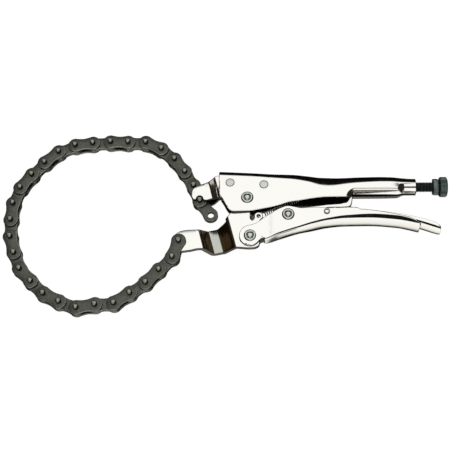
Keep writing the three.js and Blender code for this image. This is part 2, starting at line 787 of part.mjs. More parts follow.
function addChain() {
  for (let i = 0; i + 1 < pins.length; i += 1) {
    const number = String(Math.floor(i / 2) + 1).padStart(2, '0');
    const outer = i % 2 === 0;
    const link = outer ? outerLink(pins[i], pins[i + 1], i === 0) : innerLink(pins[i], pins[i + 1]);
    addPart(`chain_${outer ? 'outer' : 'inner'}_link_${number}`, link, 'chain');
  }
  const heading = endLinkHeading * degrees;
  const end = new THREE.Vector2(Math.cos(heading), Math.sin(heading)).multiplyScalar(endLinkLength).add(hookPin);
  addPart('chain_end_link', innerLink(hookPin, end, endHoleRadius), 'chain');
}

const rivetSeat = headHalfWidth + seatGap;
addPart('upper_handle', upperHandle(), 'nickel');
addPart('upper_jaw_front_plate', upperJawPlate(1), 'nickel');
addPart('upper_jaw_back_plate', upperJawPlate(-1), 'nickel');
addPart('jaw_rivet_front', rod(frontRivet, jawRivetRadius, -rivetSeat, rivetSeat, rivetSides), 'rivet');
addPart('jaw_rivet_rear', rod(rearRivet, jawRivetRadius, -rivetSeat, rivetSeat, rivetSides), 'rivet');
addPart('main_pivot_rivet', ringedRivet(mainPivot, rivetSeat), 'rivet');
addPart('lower_jaw', lowerJaw(), 'nickel');
addPart('lower_handle_rivet', ringedRivet(lowerPivot, earHalfWidth + seatGap), 'rivet');
addPart('lower_handle', lowerHandle(), 'nickel');
addPart('toggle_rivet', ringedRivet(togglePivot, lowerCheekInside(togglePivot.x) + handleSheet + seatGap), 'rivet');
addPart('toggle_spacer_front', toggleSpacer(1), 'rivet');
addPart('toggle_spacer_back', toggleSpacer(-1), 'rivet');
addPart('toggle_link', toggleLink(), 'nickel');
addPart('release_lever', releaseLever(), 'nickel');
addPart('release_lever_pin', releasePin(), 'rivet');
addPart('adjusting_screw', adjustingScrew(), 'black');
addPart('lock_nut', lockNut(), 'black');
addPart('tension_spring', tensionSpring(), 'rivet');
addChain();

// Stand the group on its lowest point, with the middle of its box over the origin
const box = new THREE.Box3().setFromObject(group);
const middle = box.getCenter(new THREE.Vector3());
group.position.set(-middle.x, -middle.y, -box.min.z);

export default group;
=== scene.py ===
import math

import bmesh
import bpy
from mathutils import Matrix, Vector


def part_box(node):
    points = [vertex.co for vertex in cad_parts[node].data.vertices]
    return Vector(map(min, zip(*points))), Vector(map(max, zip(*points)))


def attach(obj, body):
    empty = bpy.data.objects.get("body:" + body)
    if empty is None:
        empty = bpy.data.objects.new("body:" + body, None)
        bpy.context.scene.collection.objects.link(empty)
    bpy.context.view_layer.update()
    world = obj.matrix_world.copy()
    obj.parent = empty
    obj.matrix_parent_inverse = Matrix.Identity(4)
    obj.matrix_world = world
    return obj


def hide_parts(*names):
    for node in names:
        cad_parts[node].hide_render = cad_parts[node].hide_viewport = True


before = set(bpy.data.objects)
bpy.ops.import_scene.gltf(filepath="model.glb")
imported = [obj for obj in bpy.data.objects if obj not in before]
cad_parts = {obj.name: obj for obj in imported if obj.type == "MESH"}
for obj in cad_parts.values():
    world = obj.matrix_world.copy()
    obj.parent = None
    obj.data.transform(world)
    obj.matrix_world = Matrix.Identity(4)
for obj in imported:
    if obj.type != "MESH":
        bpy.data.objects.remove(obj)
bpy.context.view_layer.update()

# ---------------------------------------------------------------------------
# The camera: above the tool and a little in front of it, fitted to the pins
# of the chain. Every piece below is worked in millimetres round the main
# pivot rivet, with the handles along X, and is then put in the frame.
MM = 0.001
low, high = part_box("main_pivot_rivet")
pivot = (low + high) / 2
to_frame = Matrix.Translation(pivot) @ Matrix.Scale(MM, 4)

camera = bpy.data.objects.new("camera", bpy.data.cameras.new("camera"))
camera.data.lens = 82.6
camera.data.sensor_width = 36
right = Vector((0.9988, 0.0151, -0.046)).normalized()
back = Vector((0.0482, -0.4031, 0.9139))
back = (back - back.dot(right) * right).normalized()
turned_axes = Matrix((right, back.cross(right), back)).transposed().to_4x4()
stand = to_frame @ Vector((24.9, -386.3, 818.9))
camera.matrix_world = Matrix.Translation(stand) @ turned_axes
bpy.context.scene.collection.objects.link(camera)
bpy.context.scene.camera = camera
bpy.context.scene.view_settings.view_transform = "Standard"


# ---------------------------------------------------------------------------
# The studio: a light tent. Polished metal mirrors its white cloths and the
# dark gaps between them, so they are drawn in the world by angle round the
# tool's long axis, while dull surfaces get an even light from above.
def colour(written):
    """A colour written as sRGB hex, turned to linear."""
    parts = [int(written[i:i + 2], 16) / 255 for i in (1, 3, 5)]
    return [p / 12.92 if p <= 0.04045 else ((p + 0.055) / 1.055) ** 2.4 for p in parts] + [1]


def add(tree, kind, values=None, links=None, stops=None, **settings):
    """Adds one node with its settings, its sockets' values, a ramp's stops, and links from other nodes."""
    node = tree.nodes.new(kind)
    for name, value in settings.items():
        setattr(node, name, value)
    for socket, value in (values or {}).items():
        node.inputs[socket].default_value = value
    for socket, output in (links or {}).items():
        tree.links.new(output, node.inputs[socket])
    for i, (place, written) in enumerate(stops or ()):
        ramp = node.color_ramp.elements
        stop = ramp[i] if i < 2 else ramp.new(place)
        stop.position = place
        stop.color = colour(written)
    return node


world = bpy.data.worlds.new("light_tent")
bpy.context.scene.world = world
world.use_nodes = True
tree = world.node_tree
tree.nodes.clear()
towards = add(tree, "ShaderNodeTexCoord")
parts = add(tree, "ShaderNodeSeparateXYZ", links={0: towards.outputs["Generated"]})
around = add(tree, "ShaderNodeMath", links={0: parts.outputs["Z"], 1: parts.outputs["Y"]}, operation="ARCTAN2")
share = add(tree, "ShaderNodeMapRange", {"From Min": -math.pi, "From Max": math.pi}, {"Value": around.outputs[0]})
# the angle in degrees, with 0 at the horizon behind the tool and 90 overhead, and the cloth or gap that hangs there
TENT = (
    (-180, "#ffffff"), (-130, "#ffffff"), (-116, "#f4f4ef"), (-112, "#e6e4dc"), (-107, "#0c0b0a"), (-94, "#0a0a0a"),
    (-89, "#40372c"), (-55, "#2b251e"), (-45, "#080808"), (43, "#080808"), (50, "#ffffff"), (101, "#ffffff"),
    (105, "#101010"), (123, "#101010"), (127, "#ffffff"), (180, "#ffffff"))
cloths = add(tree, "ShaderNodeValToRGB", links={"Fac": share.outputs["Result"]},
             stops=[((angle + 180) / 360, written) for angle, written in TENT])
# the tent's ends are dark; the ranges are shares of the direction, where 1 is straight along the axis
sideways = add(tree, "ShaderNodeMath", links={0: parts.outputs["X"]}, operation="ABSOLUTE")
beyond = add(tree, "ShaderNodeMapRange", {"From Min": 0.36, "From Max": 0.46}, {"Value": sideways.outputs[0]})
ended = add(tree, "ShaderNodeMix", {7: colour("#26211b")},
            {0: beyond.outputs["Result"], 6: cloths.outputs["Color"]}, data_type="RGBA")
# the room beyond the tent's open corners is light: only views from the sides and the back mirror it
depth = add(tree, "ShaderNodeMath", links={0: parts.outputs["Y"]}, operation="ABSOLUTE")
far_side = add(tree, "ShaderNodeMapRange", {"From Min": 0.675, "From Max": 0.7}, {"Value": depth.outputs[0]})
far_end = add(tree, "ShaderNodeMapRange", {"From Min": 0.46, "From Max": 0.56}, {"Value": sideways.outputs[0]})
corner = add(tree, "ShaderNodeMath", links={0: far_side.outputs["Result"], 1: far_end.outputs["Result"]},
             operation="MULTIPLY")
opened = add(tree, "ShaderNodeMix", {7: colour("#c2c0b8")}, {0: corner.outputs[0], 6: ended.outputs[2]},
             data_type="RGBA")
# dull surfaces take this even light, and the camera sees white paper
height = add(tree, "ShaderNodeMapRange", {"From Min": -0.3, "From Max": 0.5}, {"Value": parts.outputs["Z"]})
air = add(tree, "ShaderNodeValToRGB", links={"Fac": height.outputs["Result"]},
          stops=[(0, "#3c3c3c"), (1, "#b4b4b4")])
seen = add(tree, "ShaderNodeLightPath")
dull = add(tree, "ShaderNodeBackground", {"Strength": 1.0}, {"Color": air.outputs["Color"]})
mirrored = add(tree, "ShaderNodeBackground", {"Strength": 1.0}, {"Color": opened.outputs[2]})
paper = add(tree, "ShaderNodeBackground", {"Color": colour("#ffffff"), "Strength": 1.0})
first = add(tree, "ShaderNodeMixShader", links={
    "Fac": seen.outputs["Is Glossy Ray"], 1: dull.outputs[0], 2: mirrored.outputs[0]})
second = add(tree, "ShaderNodeMixShader", links={
    "Fac": seen.outputs["Is Camera Ray"], 1: first.outputs[0], 2: paper.outputs[0]})
add(tree, "ShaderNodeOutputWorld", links={"Surface": second.outputs[0]})

# one broad soft lamp, overhead and a little behind the tool, which the metal doesn't mirror
key = bpy.data.objects.new("key_lamp", bpy.data.lights.new("key_lamp", "AREA"))
key.data.energy = 6.5
key.data.size = 1.2
key.location = (0, 0.5, 1.2)
key.rotation_euler = (-0.39, 0, 0)
key.visible_glossy = False
bpy.context.scene.collection.objects.link(key)

# the floor: white paper a hair under the tool, so that nothing of it shows through
white_paper = bpy.data.materials.new("white_studio_paper")
white_paper.use_nodes = True
tree = white_paper.node_tree
tree.nodes.clear()
matt = add(tree, "ShaderNodeBsdfDiffuse", {"Color": colour("#f2f2f2")})
even = add(tree, "ShaderNodeEmission", {"Color": colour("#ffffff"), "Strength": 1.1})
seen = add(tree, "ShaderNodeLightPath")
most = add(tree, "ShaderNodeMath", {1: 0.88}, {0: seen.outputs["Is Camera Ray"]}, operation="MULTIPLY")
mixed = add(tree, "ShaderNodeMixShader", links={"Fac": most.outputs[0], 1: matt.outputs[0], 2: even.outputs[0]})
add(tree, "ShaderNodeOutputMaterial", links={"Surface": mixed.outputs[0]})
mesh = bmesh.new()
bmesh.ops.create_grid(mesh, x_segments=1, y_segments=1, size=3)
bmesh.ops.translate(mesh, vec=(0, 0, -0.3 * MM), verts=mesh.verts)
data = bpy.data.meshes.new("floor")
mesh.to_mesh(data)
mesh.free()
data.materials.append(white_paper)
floor = bpy.data.objects.new("floor", data)
bpy.context.scene.collection.objects.link(floor)
floor.visible_glossy = False
floor.visible_diffuse = False


# ---------------------------------------------------------------------------
# The upper handle: one piece of 2 mm steel sheet, pressed to a channel that
# flares into the closed grip, with its edges folded in under it to a shallow
# keel, and drawn to a round neck for the screw. Polished and nickel plated.
def finish(name, base, metallic, roughness, grain, detail, tones=None, gloss=None, spread=(0, 1)):
    """A material that varies in clouds of a grain in millimetres: in its tone along stops, or in its roughness
    between two values. Gives it with its node tree, its shader, the surface's coordinates and the clouds."""
    material = bpy.data.materials.new(name)
    material.use_nodes = True
    tree = material.node_tree
    shader = tree.nodes["Principled BSDF"]
    shader.inputs["Base Color"].default_value = colour(base)
    shader.inputs["Metallic"].default_value = metallic
    shader.inputs["Roughness"].default_value = roughness
    place = add(tree, "ShaderNodeTexCoord")
    cloud = add(tree, "ShaderNodeTexNoise", {"Scale": 1 / (grain * MM), "Detail": detail},
                {"Vector": place.outputs["Object"]})
    if tones:
        tone = add(tree, "ShaderNodeValToRGB", links={"Fac": cloud.outputs["Fac"]}, stops=tones)
        tree.links.new(tone.outputs["Color"], shader.inputs["Base Color"])
    if gloss:
        rough = add(tree, "ShaderNodeMapRange", {
            "From Min": spread[0], "From Max": spread[1], "To Min": gloss[0], "To Max": gloss[1]},
            {"Value": cloud.outputs["Fac"]})
        tree.links.new(rough.outputs["Result"], shader.inputs["Roughness"])
    return material, tree, shader, place, cloud


# Polished nickel plate on pressed steel: a warm mirror. The wheel leaves it a
# little uneven, some 12 mm from high to high, with fine haze between.
nickel, tree, shader, place, _ = finish(
    "polished_nickel_plate", "#fbfaf4", 1, 0.09, grain=6.25, detail=4, gloss=(0.05, 0.13), spread=(0.3, 0.7))
waves = add(tree, "ShaderNodeTexNoise", {"Scale": 1 / (12.5 * MM), "Detail": 1}, {"Vector": place.outputs["Object"]})
dents = add(tree, "ShaderNodeBump", {"Strength": 0.2, "Distance": 0.05 * MM}, {"Height": waves.outputs["Fac"]})
tree.links.new(dents.outputs["Normal"], shader.inputs["Normal"])

# Inside the channels the plate is thin and unpolished, so dull; its dark grey is painted shade inside the channel.
inside_nickel_shade, *_ = finish("dull_plate_inside_channel_painted_shade", "#45433f", 1, 0.4, grain=2.5, detail=5,
                           tones=[(0.3, "#383632"), (0.7, "#524f49")])

# The open lower channels are plated right through, but the wheel doesn't reach in.
satin_nickel, *_ = finish("satin_nickel_plate", "#d9d7cf", 0.4, 0.36, grain=2.0, detail=5, gloss=(0.28, 0.44))

# The sheet's cut edges: sheared, then plated but not polished. Their dark tone is also painted shade,
# so that they read as a dark line; the same finish paints shade in grooves, holes, gaps and recesses below.
cut_edge_and_shade, *_ = finish("plated_cut_edge", "#56544e", 1, 0.3, grain=2 / 3, detail=3,
                      tones=[(0.3, "#42403b"), (0.7, "#6a675f")])


def follow(rows, at):
    """The values of a table at one place, on a smooth curve that doesn't pass beyond its rows."""
    at = min(max(at, rows[0][0]), rows[-1][0])
    i = max(k for k in range(len(rows) - 1) if rows[k][0] <= at)
    span = rows[i + 1][0] - rows[i][0]
    t = (at - rows[i][0]) / span
    values = []
    for c in range(1, len(rows[0])):
        slopes = [(rows[k + 1][c] - rows[k][c]) / (rows[k + 1][0] - rows[k][0]) for k in range(len(rows) - 1)]
        tangents = []
        for k in (i, i + 1):
            before = slopes[max(k - 1, 0)]
            after = slopes[min(k, len(slopes) - 1)]
            tangents.append(2 * before * after / (before + after) if before * after > 0 else 0)
        a, b = rows[i][c], rows[i + 1][c]
        values.append((2 * t ** 3 - 3 * t * t + 1) * a + (t ** 3 - 2 * t * t + t) * span * tangents[0]
                      + (3 * t * t - 2 * t ** 3) * b + (t ** 3 - t * t) * span * tangents[1])
    return values


def spaced(*runs):
    """Places along a line: each run gives its end and the number of steps to it from the last."""
    places = [runs[0]]
    for end, steps in runs[1:]:
        start = places[-1]
        places += [start + (end - start) * k / steps for k in range(1, steps)] + [end]
    return places


def sheet(columns, rows, place):
    """A grid of faces, each corner put in its place by its column and row."""
    mesh = bmesh.new()
    bmesh.ops.create_grid(mesh, x_segments=columns, y_segments=rows, size=1)
    for v in mesh.verts:
        v.co = place(round((v.co.x + 1) * columns / 2), round((v.co.y + 1) * rows / 2))
    return mesh


def both_sides(mesh):
    """Mirrors a half shape through the tool's middle plane and joins the two."""
    bmesh.ops.mirror(mesh, geom=mesh.verts[:] + mesh.edges[:] + mesh.faces[:], axis="Z", merge_dist=0.001)
    bmesh.ops.remove_doubles(mesh, verts=mesh.verts, dist=0.002)
    bmesh.ops.recalc_face_normals(mesh, faces=mesh.faces)
    middle = sum((v.co for v in mesh.verts), Vector()) / len(mesh.verts)
    if sum((f.calc_center_median() - middle).dot(f.normal) * f.calc_area() for f in mesh.faces) < 0:
        bmesh.ops.reverse_faces(mesh, faces=mesh.faces)


def piece(name, mesh, *finishes, wall=0.0, edge=0.0, sharp=lambda spot: False):
    """Puts a shape in the frame as an object. A sheet gets its wall, and its cut edges are rounded but where sharp."""
    if wall:
        rounded = mesh.edges.layers.float.new("bevel_weight_edge")
        for line in mesh.edges:
            if line.is_boundary and not any(sharp(v.co) for v in line.verts):
                line[rounded] = 1.0
    bmesh.ops.transform(mesh, matrix=to_frame, verts=mesh.verts)
    for face in mesh.faces:
        face.smooth = True
    data = bpy.data.meshes.new(name)
    mesh.to_mesh(data)
    mesh.free()
    for material in finishes:
        data.materials.append(material)
    data.set_sharp_from_angle(angle=math.radians(35))
    made = bpy.data.objects.new(name, data)
    bpy.context.scene.collection.objects.link(made)
    if wall:
        thick = made.modifiers.new("wall", "SOLIDIFY")
        thick.thickness = wall * MM
        thick.offset = -1
        thick.material_offset = 1
        thick.material_offset_rim = 2
    if edge:
        round_edge = made.modifiers.new("edge", "BEVEL")
        round_edge.width = edge * MM
        round_edge.segments = 3
        round_edge.limit_method = "WEIGHT"
        round_edge.harden_normals = True
        round_edge.use_clamp_overlap = False
        round_edge.loop_slide = False
    return made


# x, then half the width, the top, and the corner's reach inwards and downwards
UPPER_FORM = (
    (-25.0, 4.7, 26.6, 4.3, 5.8), (2, 4.7, 25.2, 4.3, 5.8), (20, 4.7, 24.0, 4.4, 6.2), (40, 7.0, 22.8, 6.4, 8),
    (54, 8.6, 20.9, 7.8, 10), (63, 9.6, 19.6, 8.8, 13), (70, 9.85, 19.3, 9, 14), (78, 10.1, 18.8, 9, 12.5),
    (85, 10.15, 18.9, 9.1, 11), (94, 10.2, 19.2, 9.2, 10), (113, 10.2, 19.5, 9.2, 9), (124, 9.5, 19.4, 8.8, 8.4),
    (134, 8.4, 18.6, 8.0, 7.8), (142, 7.5, 18.1, 7.3, 7.2), (146.2, 7.2, 18.1, 7.2, 7.2))
UPPER_EDGE = (
    (-25.0, 8.8), (-23.8, 2.1), (-20.5, -3.9), (-17.5, -9.5), (-15.6, -11.7), (-13.7, -12.6), (-11.4, -12.9),
    (2.0, -12.7), (12.9, -10.8), (25.9, -8.2), (37.1, -5.2), (46.9, -4.2), (57.7, -2.9), (69.3, -2.2), (86, -2.3))
# x, then where the fold starts, its angle in degrees, the length of its bend and of the whole flange, and half the
# width there. Before FOLD_START the flange is the straight end of the cheek, down to the edge.
FOLD_START = 86
EDGE_FLANGE, STRAIGHT_BEND, LEAST_FLAT, LEAST_GAP = 6, 3.76, 1.6, 0.35
UPPER_FOLD = (
    (86, 3.7, 0, 3.76, 6, 10.15), (92.5, 6.7, 77, 3.76, 9.0, 10.2), (113, 6.7, 77, 3.76, 9.2, 10.2),
    (129.5, 6.7, 77, 3.76, 9.2, 9.6), (136, 10.9, 90, 11.31, 9.6, 7.3), (146.2, 10.9, 90, 11.31, 9.6, 7.2))
upper_places = spaced(-25.0, (-23.6, 2), (-10, 18), (40, 24), (FOLD_START, 24), (93, 12), (128, 16), (137, 12),
                      (146.2, 5))
# the last row of the half section's top, corner, cheek, bend and flange
TOP, CORNER, CHEEK, BEND, FLANGE = 3, 17, 25, 35, 37


def upper_half(column, row):
    """A corner of the front half, from the middle of the top over the side to the flange's edge."""
    x = upper_places[column]
    half, top, inwards, down = follow(UPPER_FORM, x)
    if x > FOLD_START:
        bend_at, angle, bend, whole, below = follow(UPPER_FOLD, x)
    else:
        bend_at, angle, bend, whole, below = follow(UPPER_EDGE, x)[0] + EDGE_FLANGE, 0, STRAIGHT_BEND, EDGE_FLANGE, half
    if row <= TOP:
        return Vector((x, top, (half - inwards) * row / TOP))
    if row <= CORNER:
        turn = math.pi / 2 * (row - TOP) / (CORNER - TOP)
        return Vector((x, top - down * (1 - math.cos(turn)), half - inwards * (1 - math.sin(turn))))
    if row <= CHEEK:
        share = (row - CORNER) / (CHEEK - CORNER)
        return Vector((x, top - down + (bend_at - top + down) * share, half + (below - half) * share))
    first = min(bend, whole - LEAST_FLAT)
    along = first * min((row - CHEEK) / (BEND - CHEEK), 1) + (whole - first) * max((row - BEND) / (FLANGE - BEND), 0)
    angle = math.radians(max(angle, 0.01))
    radius = bend / angle
    bent = min(along, bend)
    y = bend_at - radius * math.sin(bent / radius) - (along - bent) * math.cos(angle)
    z = below - radius * (1 - math.cos(bent / radius)) - (along - bent) * math.sin(angle)
    return Vector((x, y, max(z, LEAST_GAP)))


mesh = sheet(len(upper_places) - 1, FLANGE, upper_half)
both_sides(mesh)
# the corner of the seam at the neck's end isn't rounded
upper_handle = piece("upper_handle_sheet", mesh, nickel, inside_nickel_shade, cut_edge_and_shade, wall=2.0, edge=0.7,
                     sharp=lambda spot: spot.x > 146 and abs(spot.z) < 4.5 and spot.y < 10)
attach(upper_handle, "upper_side")
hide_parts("upper_handle")


# ---------------------------------------------------------------------------
# The two jaw plates: stamped from 2.4 mm steel, joggled apart at the front so
# that the chain passes between them, each with a notch in the hook for a
# chain pin. Their edges are tumbled round before polishing and plating.
JAW_PLATE = 2.4
JAW_PLATE_MIDDLE = 1.3       # from the tool's middle plane, behind the joggle
TUMBLED = 0.6                # how far round an edge goes
PRESS_ANGLE = math.radians(15)
ACROSS_PRESS = Vector((math.cos(PRESS_ANGLE), math.sin(PRESS_ANGLE), 0))


def arc(x, y, radius, start, end, steps):
    """Points on an arc, from one angle in degrees to another."""
    turns = [math.radians(start + (end - start) * k / steps) for k in range(steps + 1)]
    return [(x + radius * math.cos(t), y + radius * math.sin(t)) for t in turns]


def smooth(points, step=1.2):
    """A closed outline through the points, softly curved, with no overshoot at its corners."""
    ring = points[-3:] + points + points[:3]
    rows = [(0.0, *ring[0])]
    for before, after in zip(ring, ring[1:]):
        rows.append((rows[-1][0] + math.sqrt(math.dist(before, after)), *after))
    outline = []
    for k in range(3, len(points) + 3):
        steps = max(1, round(math.dist(ring[k], ring[k + 1]) / step))
        outline += [tuple(follow(rows[k - 3:k + 4], rows[k][0] + (rows[k + 1][0] - rows[k][0]) * s / steps))
                    for s in range(steps)]
    return outline


def plate(outline, low, high, edge, holes=()):
    """A flat plate between two heights. Its faces are finish 0, the rounding of its rims 1 and its sides 2."""
    mesh = bmesh.new()
    for ring in (outline, *holes):
        corners = [mesh.verts.new((x, y, low + edge)) for x, y in ring]
        for a, b in zip(corners, corners[1:] + corners[:1]):
            mesh.edges.new((a, b))
    made = bmesh.ops.triangle_fill(mesh, edges=mesh.edges, use_beauty=True, normal=(0, 0, 1))
    under = [f for f in made["geom"] if isinstance(f, bmesh.types.BMFace)]
    raised = bmesh.ops.extrude_face_region(mesh, geom=under, use_keep_orig=True)
    over = [f for f in raised["geom"] if isinstance(f, bmesh.types.BMFace)]
    bmesh.ops.translate(mesh, vec=(0, 0, high - low - 2 * edge), verts=list({v for f in over for v in f.verts}))
    bmesh.ops.recalc_face_normals(mesh, faces=mesh.faces)
    caps = set(under) | set(over)
    for face in mesh.faces:
        face.material_index = 0 if face in caps else 2
    for cap in (under, over):
        for inwards, outwards in ((0.293, 0.707), (0.707, 0.293)):
            rim = bmesh.ops.inset_region(mesh, faces=cap, thickness=inwards * edge, depth=outwards * edge,
                                         use_boundary=True, use_even_offset=True)
            for face in rim["faces"]:
                face.material_index = 1
    return mesh


def eased(rows, reach, at, samples=8):
    """A line of straight runs with its bends eased: the height at one place, and the slope as an angle."""
    def straight(u):
        for (a, b), (c, d) in zip(rows, rows[1:]):
            if u <= c:
                return b + (d - b) * max(u - a, 0) / (c - a)
        return rows[-1][1]
    heights = [straight(at + reach * k / samples) for k in range(-samples, samples + 1)]
    return sum(heights) / len(heights), math.atan2(heights[-1] - heights[0], 2 * reach)


def pressed(mesh, rows, reach, start, end, cuts):
    """Presses a flat plate along a line of runs across it, cutting it from start to end so that it can bend."""
    for k in range(cuts + 1):
        at = start + (end - start) * k / cuts
        bmesh.ops.bisect_plane(mesh, geom=mesh.verts[:] + mesh.edges[:] + mesh.faces[:], dist=0.0001,
                               plane_co=ACROSS_PRESS * at, plane_no=ACROSS_PRESS)
    for v in mesh.verts:
        rise, slope = eased(rows, reach, v.co.dot(ACROSS_PRESS))
        away = v.co.z
        v.co -= ACROSS_PRESS * (away * math.sin(slope))
        v.co.z = rise + away * math.cos(slope)


# round the plate from its rear edge: one arc is the notch for a chain pin, the other clears the lower jaw's eye
HOOK_OUTLINE = [
    (19.0, 12), (19.0, 20.2), (7, 21), (-5.0, 21.8), (-22.0, 22.2), (-26.8, 22.4), (-28.9, 21.4), (-31.8, 17.4),
    (-34.5, 13.9), (-37.6, 12.4), (-41.1, 11.2), (-46.3, 8.3), (-48.4, 4.4), (-48.7, 1.1), (-47.7, -1.8),
    (-46.7, -3.1), (-44.7, -3.3), *arc(-41.24, -2.47, 2.75, 185, 0, 10), (-37.2, -3.8), (-35.5, -4.0), (-29.9, -2.3),
    (-24.0, 0.5), (-22.8, -0.3), (-12.5, 1.5), (-9.0, 2.4), *arc(0, 0, 9.4, 162, 32, 8), (10, 4.5), (19.0, 4.5)]
JOGGLE = ((-60, 5.1), (-29.5, 5.1), (-22.9, 0), (60, 0))
for name, side in (("front", 1), ("back", -1)):
    mesh = plate(smooth(HOOK_OUTLINE), -JAW_PLATE / 2, JAW_PLATE / 2, TUMBLED)
    pressed(mesh, JOGGLE, reach=1.8, start=-32, end=-20, cuts=14)
    bmesh.ops.translate(mesh, vec=(0, 0, JAW_PLATE_MIDDLE), verts=mesh.verts)
    # the plates' sides towards each other, where the wheel doesn't reach, stay unpolished; their dark finish is painted
    # shade between the plates
    mesh.normal_update()
    for face in mesh.faces:
        if face.normal.z < -0.3:
            face.material_index = 2
    if side < 0:
        bmesh.ops.scale(mesh, vec=(1, 1, -1), verts=mesh.verts)
        bmesh.ops.reverse_faces(mesh, faces=mesh.faces)
    jaw_plate = piece("jaw_plate_" + name, mesh, nickel, cut_edge_and_shade, cut_edge_and_shade)
    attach(jaw_plate, "upper_side")
    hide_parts("upper_jaw_" + name + "_plate")


# ---------------------------------------------------------------------------
# The two jaw rivets: plain steel, closed to a low flat head that stands less
# than half a millimetre proud of the handle's cheek, its rounded rim painted dark as shade.
def turned(profile, steps=48):
    """A body turned about Z from a profile of radius and height that starts and ends on the axis."""
    mesh = bmesh.new()
    points = [mesh.verts.new((radius, 0, height)) for radius, height in profile]
    lines = [mesh.edges.new(pair) for pair in zip(points, points[1:])]
    bmesh.ops.spin(mesh, geom=points + lines, cent=(0, 0, 0), axis=(0, 0, 1), dvec=(0, 0, 0),
                   angle=math.tau, steps=steps, use_merge=True, use_duplicate=False)
    bmesh.ops.remove_doubles(mesh, verts=mesh.verts, dist=0.0005)
    bmesh.ops.recalc_face_normals(mesh, faces=mesh.faces)
    return mesh


# Rivet steel: plated with the handles but of harder steel, greyer and a touch greener.
rivet_steel, *_ = finish("plated_rivet_steel", "#cdd3ca", 1, 0.16, grain=10 / 7, detail=3, gloss=(0.1, 0.22),
                         spread=(0.3, 0.7))

FLAT_HEAD = [(0, 5.12), (3.1, 5.08), (3.35, 5.02), (3.7, 4.9), (3.95, 4.7), (4.05, 4.4)]
PAINTED_SHADE_RIM = 3.4
for name, x, y in (("front", -15.1, 14.4), ("rear", 14.5, 12.4)):
    mesh = turned(FLAT_HEAD + [(radius, -z) for radius, z in reversed(FLAT_HEAD)])
    for face in mesh.faces:
        face.material_index = int(face.calc_center_median().xy.length > PAINTED_SHADE_RIM)
    bmesh.ops.translate(mesh, vec=(x, y, 0), verts=mesh.verts)
    jaw_rivet = piece("jaw_rivet_" + name + "_flush", mesh, rivet_steel, cut_edge_and_shade)
    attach(jaw_rivet, "upper_side")
    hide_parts("jaw_rivet_" + name)


# ---------------------------------------------------------------------------
# The ringed rivets at the three main joints: hardened steel, each head closed
# by an orbiting tool that leaves a broad flange, a groove and a low dome.
RINGED_HEAD = (
    (0, 1.74), (1.0, 1.73), (1.8, 1.68), (2.15, 1.5), (2.4, 1.1), (2.6, 0.7), (2.85, 0.56), (3.1, 0.7), (3.35, 0.98),
    (3.6, 1.06), (4.3, 1.05), (4.7, 0.92), (5.0, 0.62), (5.25, 0.2), (5.45, 0.08), (5.45, -0.1))
# the groove and the flange's outer rim take the dark finish: painted shade in the groove, painted shadow round the rim
PAINTED_SHADE_GROOVE, PAINTED_SHADOW_RIM = (2.55, 3.1), 4.9
HANDLE_RIVET = (2.7, -35.9)
TOGGLE_RIVET = (35.4, -17.3)
for name, (x, y), seat, body in (
        ("main_pivot_rivet", (0, 0), 4.7, "upper_side"), ("lower_handle_rivet", HANDLE_RIVET, 4.7, "lower_jaw"),
        ("toggle_rivet", TOGGLE_RIVET, 7.2, "lower_handle")):
    profile = [(radius, seat + z) for radius, z in RINGED_HEAD]
    mesh = turned(profile + [(radius, -z) for radius, z in reversed(profile)], 56)
    for face in mesh.faces:
        from_middle = face.calc_center_median().xy.length
        face.material_index = int(from_middle > PAINTED_SHADOW_RIM or PAINTED_SHADE_GROOVE[0] < from_middle < PAINTED_SHADE_GROOVE[1])
    bmesh.ops.translate(mesh, vec=(x, y, 0), verts=mesh.verts)
    ringed = piece(name + "_ringed", mesh, rivet_steel, cut_edge_and_shade)
    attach(ringed, body)
    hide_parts(name)


# ---------------------------------------------------------------------------
# The lower jaw: one 4.2 mm steel stamping, pressed down to a trough so that
# the chain's loose end passes over it, with a tab for the chain at one end
# and an eye, a rivet hole and the spring's lug at the other.
LUG = (9.9, -16.6)
# round the plate from its eye, by the tab for the chain and the rivet's corner, to the spring's lug
JAW_OUTLINE = [
    *arc(0, 0, 8.5, -50, 207, 16), (-9.6, -7.1), (-14, -12.8), (-15.7, -15), (-17.8, -18.9), (-17.3, -20.2),
    (-22, -22.8), (-27, -24.4), (-33.4, -25.8), (-38, -27.5), (-42.2, -28.9), (-50, -29.2), (-56, -30), (-60.4, -32.0),
    (-62.5, -34.5), (-64.4, -37.6), (-65, -41.5), (-64.2, -45.1), (-62, -47.8), (-57.5, -49.6), (-48.6, -48.6),
    (-40.9, -47.1), (-28.3, -47.7), (-21.4, -46.5), (-8.7, -45.9), (1, -46.6), (5.2, -46.5), (8.2, -45.7),
    (10.6, -43.6), (11, -40), (11, -30), (11, -22.2), *arc(*LUG, 3.9, -65, 200, 14), (5.6, -19.6), (4.3, -20.6),
    (3.0, -19.4), (2.7, -16), (2.8, -13), (4.2, -9.2)]
JAW_THICKNESS = 4.2
TROUGH = ((-90, 0), (-48.2, 0), (-40.7, -11.2), (-30.8, -11.2), (-20.8, 0), (60, 0))
mesh = plate(smooth(JAW_OUTLINE), -JAW_THICKNESS / 2, JAW_THICKNESS / 2, TUMBLED, holes=[arc(*LUG, 1.3, 0, 337.5, 15)])
pressed(mesh, TROUGH, reach=1.2, start=-50.4, end=-18.6, cuts=53)

